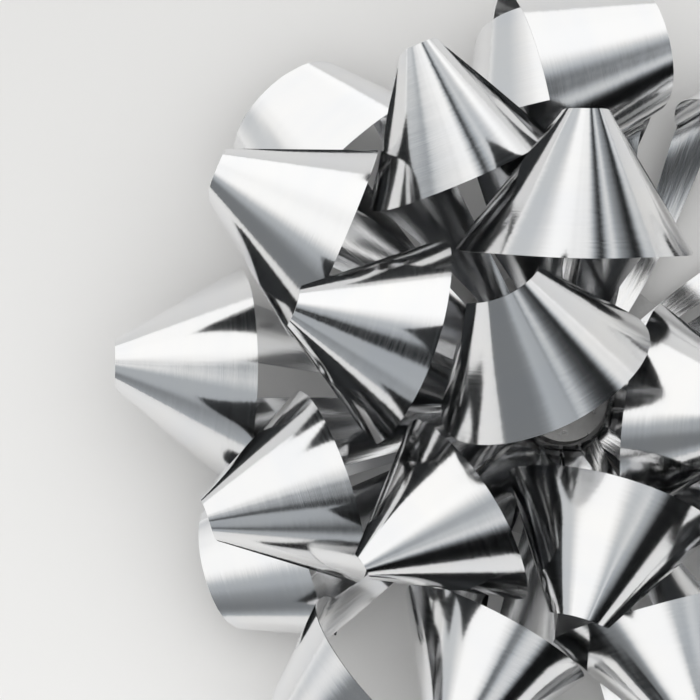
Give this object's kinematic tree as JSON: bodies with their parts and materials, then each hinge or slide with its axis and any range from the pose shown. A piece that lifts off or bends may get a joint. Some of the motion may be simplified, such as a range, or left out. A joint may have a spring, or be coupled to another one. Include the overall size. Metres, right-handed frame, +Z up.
{
  "type": "gift bow",
  "caption": "Ready-made star gift bow: pointed loops of silver foil ribbon in tiers, stapled to a round card over a stick-on foam pad.",
  "frame": {"origin": "centre of the release liner's flat underside", "axes": "+Z up through the centre loop, +X towards the release liner's pull tab"},
  "size_m": [0.1186, 0.1144, 0.0582],
  "materials": {
    "foil_ribbon": "mirror-bright silver metallised film",
    "ribbon_back": "satin silver film",
    "card": "silver-faced card",
    "foam": "matt white foam",
    "liner_paper": "satin release paper",
    "staple_wire": "bright wire"
  },
  "bodies": {
    "base": {"base_card": "card", "foam_pad": "foam", "staple": "staple_wire", "ribbon_centre_1": "ribbon_back", "ribbon_centre_2": "ribbon_back", "ribbon_centre_3": "ribbon_back", "ribbon_centre_4": "ribbon_back", "ribbon_centre_5": "ribbon_back", "ribbon_centre_6": "ribbon_back"},
    "release_liner": {"release_liner": "liner_paper"},
    "lower_loop_1": {"lower_loop_1": "foil_ribbon"},
    "lower_loop_2": {"lower_loop_2": "foil_ribbon"},
    "lower_loop_3": {"lower_loop_3": "foil_ribbon"},
    "lower_loop_4": {"lower_loop_4": "foil_ribbon"},
    "lower_loop_5": {"lower_loop_5": "foil_ribbon"},
    "lower_loop_6": {"lower_loop_6": "foil_ribbon"},
    "lower_loop_7": {"lower_loop_7": "foil_ribbon"},
    "lower_loop_8": {"lower_loop_8": "foil_ribbon"},
    "lower_loop_9": {"lower_loop_9": "foil_ribbon"},
    "middle_loop_1": {"middle_loop_1": "foil_ribbon"},
    "middle_loop_2": {"middle_loop_2": "foil_ribbon"},
    "middle_loop_3": {"middle_loop_3": "foil_ribbon"},
    "middle_loop_4": {"middle_loop_4": "foil_ribbon"},
    "middle_loop_5": {"middle_loop_5": "foil_ribbon"},
    "middle_loop_6": {"middle_loop_6": "foil_ribbon"},
    "middle_loop_7": {"middle_loop_7": "foil_ribbon"},
    "middle_loop_8": {"middle_loop_8": "foil_ribbon"},
    "middle_loop_9": {"middle_loop_9": "foil_ribbon"},
    "upper_loop_1": {"upper_loop_1": "foil_ribbon"},
    "upper_loop_2": {"upper_loop_2": "foil_ribbon"},
    "upper_loop_3": {"upper_loop_3": "foil_ribbon"},
    "upper_loop_4": {"upper_loop_4": "foil_ribbon"},
    "upper_loop_5": {"upper_loop_5": "foil_ribbon"},
    "centre_loop": {"centre_loop": "foil_ribbon"}
  },
  "joints": [
    {"name": "release_liner_pull", "type": "slide", "parent": "base", "child": "release_liner", "axis": [1, 0, 0], "range_m": [0, 0.036]},
    {"name": "lower_loop_1_flex", "type": "hinge", "parent": "base", "child": "lower_loop_1", "pos_m": [-0.00066, 0.00626, 0.0032], "axis": [0.9945, 0.1045, 0], "range_deg": [-4, 1], "stiffness_Nm_per_rad": 0.02},
    {"name": "lower_loop_2_flex", "type": "hinge", "parent": "base", "child": "lower_loop_2", "pos_m": [-0.00438, 0.00453, 0.0043], "axis": [0.7193, 0.6947, 0], "range_deg": [-4, 1], "stiffness_Nm_per_rad": 0.02},
    {"name": "lower_loop_3_flex", "type": "hinge", "parent": "base", "child": "lower_loop_3", "pos_m": [-0.00584, -0.00236, 0.0032], "axis": [-0.3746, 0.9272, 0], "range_deg": [-4, 1], "stiffness_Nm_per_rad": 0.02},
    {"name": "lower_loop_4_flex", "type": "hinge", "parent": "base", "child": "lower_loop_4", "pos_m": [-0.00396, -0.0049, 0.0043], "axis": [-0.7771, 0.6293, 0], "range_deg": [-4, 1], "stiffness_Nm_per_rad": 0.02},
    {"name": "lower_loop_5_flex", "type": "hinge", "parent": "base", "child": "lower_loop_5", "pos_m": [-0.00022, -0.0063, 0.0032], "axis": [-0.9994, 0.0349, 0], "range_deg": [-4, 1], "stiffness_Nm_per_rad": 0.02},
    {"name": "lower_loop_6_flex", "type": "hinge", "parent": "base", "child": "lower_loop_6", "pos_m": [0.00379, -0.00503, 0.0043], "axis": [-0.7986, -0.6018, 0], "range_deg": [-4, 1], "stiffness_Nm_per_rad": 0.02},
    {"name": "lower_loop_7_flex", "type": "hinge", "parent": "base", "child": "lower_loop_7", "pos_m": [0.00602, -0.00184, 0.0032], "axis": [-0.2924, -0.9563, 0], "range_deg": [-4, 1], "stiffness_Nm_per_rad": 0.02},
    {"name": "lower_loop_8_flex", "type": "hinge", "parent": "base", "child": "lower_loop_8", "pos_m": [0.00592, 0.00215, 0.0043], "axis": [0.342, -0.9397, 0], "range_deg": [-4, 1], "stiffness_Nm_per_rad": 0.02},
    {"name": "lower_loop_9_flex", "type": "hinge", "parent": "base", "child": "lower_loop_9", "pos_m": [0.00405, 0.00483, 0.0032], "axis": [0.766, -0.6428, 0], "range_deg": [-4, 1], "stiffness_Nm_per_rad": 0.02},
    {"name": "middle_loop_1_flex", "type": "hinge", "parent": "base", "child": "middle_loop_1", "pos_m": [-0.00266, 0.00571, 0.0054], "axis": [0.9063, 0.4226, 0], "range_deg": [-4, 1], "stiffness_Nm_per_rad": 0.02},
    {"name": "middle_loop_2_flex", "type": "hinge", "parent": "base", "child": "middle_loop_2", "pos_m": [-0.00546, 0.00315, 0.0065], "axis": [0.5, 0.866, 0], "range_deg": [-4, 1], "stiffness_Nm_per_rad": 0.02},
    {"name": "middle_loop_3_flex", "type": "hinge", "parent": "base", "child": "middle_loop_3", "pos_m": [-0.00629, 0.00033, 0.0054], "axis": [0.0523, 0.9986, 0], "range_deg": [-4, 1], "stiffness_Nm_per_rad": 0.02},
    {"name": "middle_loop_4_flex", "type": "hinge", "parent": "base", "child": "middle_loop_4", "pos_m": [-0.00592, -0.00215, 0.0065], "axis": [-0.342, 0.9397, 0], "range_deg": [-4, 1], "stiffness_Nm_per_rad": 0.02},
    {"name": "middle_loop_5_flex", "type": "hinge", "parent": "base", "child": "middle_loop_5", "pos_m": [-0.00215, -0.00592, 0.0054], "axis": [-0.9397, 0.342, 0], "range_deg": [-4, 1], "stiffness_Nm_per_rad": 0.02},
    {"name": "middle_loop_6_flex", "type": "hinge", "parent": "base", "child": "middle_loop_6", "pos_m": [0.00215, -0.00592, 0.0065], "axis": [-0.9397, -0.342, 0], "range_deg": [-4, 1], "stiffness_Nm_per_rad": 0.02},
    {"name": "middle_loop_7_flex", "type": "hinge", "parent": "base", "child": "middle_loop_7", "pos_m": [0.0054, -0.00325, 0.0054], "axis": [-0.515, -0.8572, 0], "range_deg": [-4, 1], "stiffness_Nm_per_rad": 0.02},
    {"name": "middle_loop_8_flex", "type": "hinge", "parent": "base", "child": "middle_loop_8", "pos_m": [0.00624, 0.00088, 0.0065], "axis": [0.1392, -0.9903, 0], "range_deg": [-4, 1], "stiffness_Nm_per_rad": 0.02},
    {"name": "middle_loop_9_flex", "type": "hinge", "parent": "base", "child": "middle_loop_9", "pos_m": [0.00352, 0.00522, 0.0054], "axis": [0.829, -0.5592, 0], "range_deg": [-4, 1], "stiffness_Nm_per_rad": 0.02},
    {"name": "upper_loop_1_flex", "type": "hinge", "parent": "base", "child": "upper_loop_1", "pos_m": [0.00011, 0.0063, 0.0076], "axis": [0.9998, -0.0175, 0], "range_deg": [-4, 1], "stiffness_Nm_per_rad": 0.02},
    {"name": "upper_loop_2_flex", "type": "hinge", "parent": "base", "child": "upper_loop_2", "pos_m": [-0.00614, 0.00142, 0.0076], "axis": [0.225, 0.9744, 0], "range_deg": [-4, 1], "stiffness_Nm_per_rad": 0.02},
    {"name": "upper_loop_3_flex", "type": "hinge", "parent": "base", "child": "upper_loop_3", "pos_m": [-0.00483, -0.00405, 0.0076], "axis": [-0.6428, 0.766, 0], "range_deg": [-4, 1], "stiffness_Nm_per_rad": 0.02},
    {"name": "upper_loop_4_flex", "type": "hinge", "parent": "base", "child": "upper_loop_4", "pos_m": [-0.00044, -0.00628, 0.0076], "axis": [-0.9976, 0.0698, 0], "range_deg": [-4, 1], "stiffness_Nm_per_rad": 0.02},
    {"name": "upper_loop_5_flex", "type": "hinge", "parent": "base", "child": "upper_loop_5", "pos_m": [0.00618, -0.0012, 0.0076], "axis": [-0.1908, -0.9816, 0], "range_deg": [-4, 1], "stiffness_Nm_per_rad": 0.02},
    {"name": "centre_loop_flex", "type": "hinge", "parent": "base", "child": "centre_loop", "pos_m": [-0.00422, 0.00468, 0.0087], "axis": [0.7431, 0.6691, 0], "range_deg": [-4, 1], "stiffness_Nm_per_rad": 0.02}
  ],
  "couplings": [
    {"joint": "lower_loop_1_flex", "follows": "centre_loop_flex", "ratio": 1},
    {"joint": "lower_loop_2_flex", "follows": "centre_loop_flex", "ratio": 1},
    {"joint": "lower_loop_3_flex", "follows": "centre_loop_flex", "ratio": 1},
    {"joint": "lower_loop_4_flex", "follows": "centre_loop_flex", "ratio": 1},
    {"joint": "lower_loop_5_flex", "follows": "centre_loop_flex", "ratio": 1},
    {"joint": "lower_loop_6_flex", "follows": "centre_loop_flex", "ratio": 1},
    {"joint": "lower_loop_7_flex", "follows": "centre_loop_flex", "ratio": 1},
    {"joint": "lower_loop_8_flex", "follows": "centre_loop_flex", "ratio": 1},
    {"joint": "lower_loop_9_flex", "follows": "centre_loop_flex", "ratio": 1},
    {"joint": "middle_loop_1_flex", "follows": "centre_loop_flex", "ratio": 1},
    {"joint": "middle_loop_2_flex", "follows": "centre_loop_flex", "ratio": 1},
    {"joint": "middle_loop_3_flex", "follows": "centre_loop_flex", "ratio": 1},
    {"joint": "middle_loop_4_flex", "follows": "centre_loop_flex", "ratio": 1},
    {"joint": "middle_loop_5_flex", "follows": "centre_loop_flex", "ratio": 1},
    {"joint": "middle_loop_6_flex", "follows": "centre_loop_flex", "ratio": 1},
    {"joint": "middle_loop_7_flex", "follows": "centre_loop_flex", "ratio": 1},
    {"joint": "middle_loop_8_flex", "follows": "centre_loop_flex", "ratio": 1},
    {"joint": "middle_loop_9_flex", "follows": "centre_loop_flex", "ratio": 1},
    {"joint": "upper_loop_1_flex", "follows": "centre_loop_flex", "ratio": 1},
    {"joint": "upper_loop_2_flex", "follows": "centre_loop_flex", "ratio": 1},
    {"joint": "upper_loop_3_flex", "follows": "centre_loop_flex", "ratio": 1},
    {"joint": "upper_loop_4_flex", "follows": "centre_loop_flex", "ratio": 1},
    {"joint": "upper_loop_5_flex", "follows": "centre_loop_flex", "ratio": 1}
  ]
}
